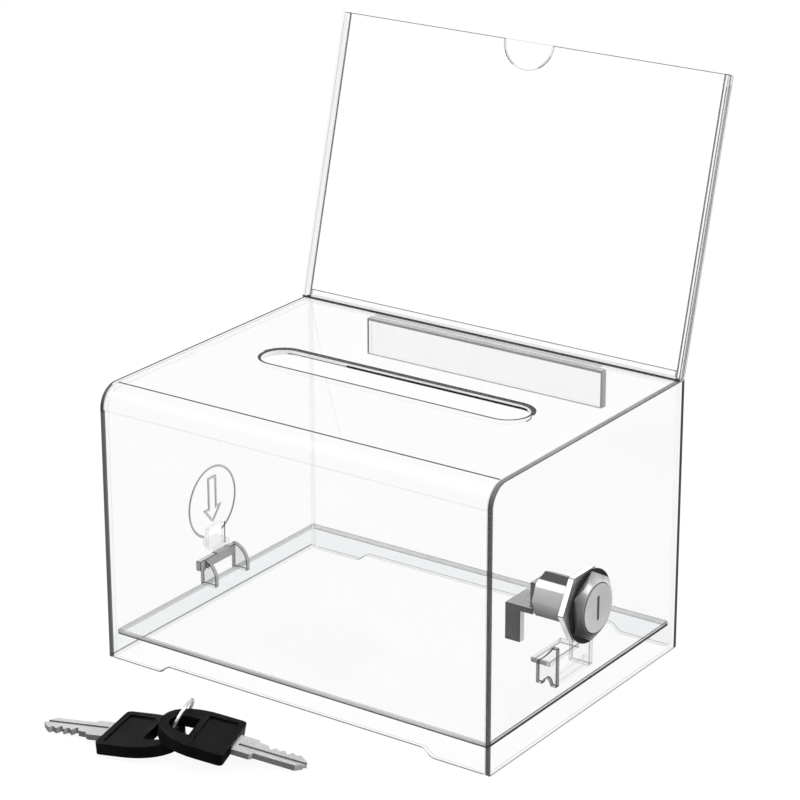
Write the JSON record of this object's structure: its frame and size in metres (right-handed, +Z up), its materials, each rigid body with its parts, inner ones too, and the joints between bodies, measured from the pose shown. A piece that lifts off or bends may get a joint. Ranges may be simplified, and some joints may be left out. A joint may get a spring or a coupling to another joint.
{
  "type": "donation box",
  "caption": "Clear acrylic tabletop donation box with a rounded slotted top, leaning sign pocket, hinged floor, cam lock in the side and two keys on a ring.",
  "frame": {"origin": "centre of the whole set's bounding box (box, sign and keys) at the height of the table it stands on", "axes": "+Z up, -Y the front, where the keys lie, +X towards the side wall with the lock"},
  "size_m": [0.1656, 0.208, 0.2031],
  "materials": {
    "clear_acrylic": "clear cast acrylic with flame-polished edges",
    "chrome_plate": "polished, slightly worn",
    "cam_steel": "zinc plated, dull",
    "black_rubber": "matt",
    "bow_plastic": "moulded, fine satin grain",
    "key_steel": "nickel plated, milled"
  },
  "bodies": {
    "box": {"bent_front_top_sheet": "clear_acrylic", "back_wall": "clear_acrylic", "rear_stiffener_strip": "clear_acrylic", "left_side_wall": "clear_acrylic", "right_side_wall": "clear_acrylic", "sign_rear_sheet": "clear_acrylic", "sign_front_sheet": "clear_acrylic", "sign_left_spacer": "clear_acrylic", "sign_right_spacer": "clear_acrylic", "sign_bottom_spacer": "clear_acrylic", "lock_housing": "chrome_plate", "lock_gasket": "black_rubber", "lock_nut": "chrome_plate"},
    "floor": {"floor_plate": "clear_acrylic", "hook_bar": "clear_acrylic", "hook_front_cheek": "clear_acrylic", "hook_rear_cheek": "clear_acrylic", "catch_front_cheek": "clear_acrylic", "catch_rear_cheek": "clear_acrylic", "catch_shelf": "clear_acrylic", "catch_tie_bar": "clear_acrylic"},
    "lock_core": {"lock_plug": "chrome_plate", "lock_cam": "cam_steel", "cam_screw": "chrome_plate"},
    "keys": {"key_1_bow": "bow_plastic", "key_1_blade": "key_steel", "key_2_bow": "bow_plastic", "key_2_blade": "key_steel", "key_ring": "chrome_plate"}
  },
  "joints": [
    {"name": "floor_hinge", "type": "hinge", "parent": "box", "child": "floor", "pos_m": [-0.07845, 0.01694, 0.0085], "axis": [0, 1, 0], "range_deg": [0, 75]},
    {"name": "lock_turn", "type": "hinge", "parent": "box", "child": "lock_core", "pos_m": [0.07925, 0.01694, 0.0385], "axis": [1, 0, 0], "range_deg": [0, 90]},
    {"name": "keys_lift", "type": "slide", "parent": "box", "child": "keys", "axis": [0, 0, 1], "range_m": [0, 0.1]}
  ]
}
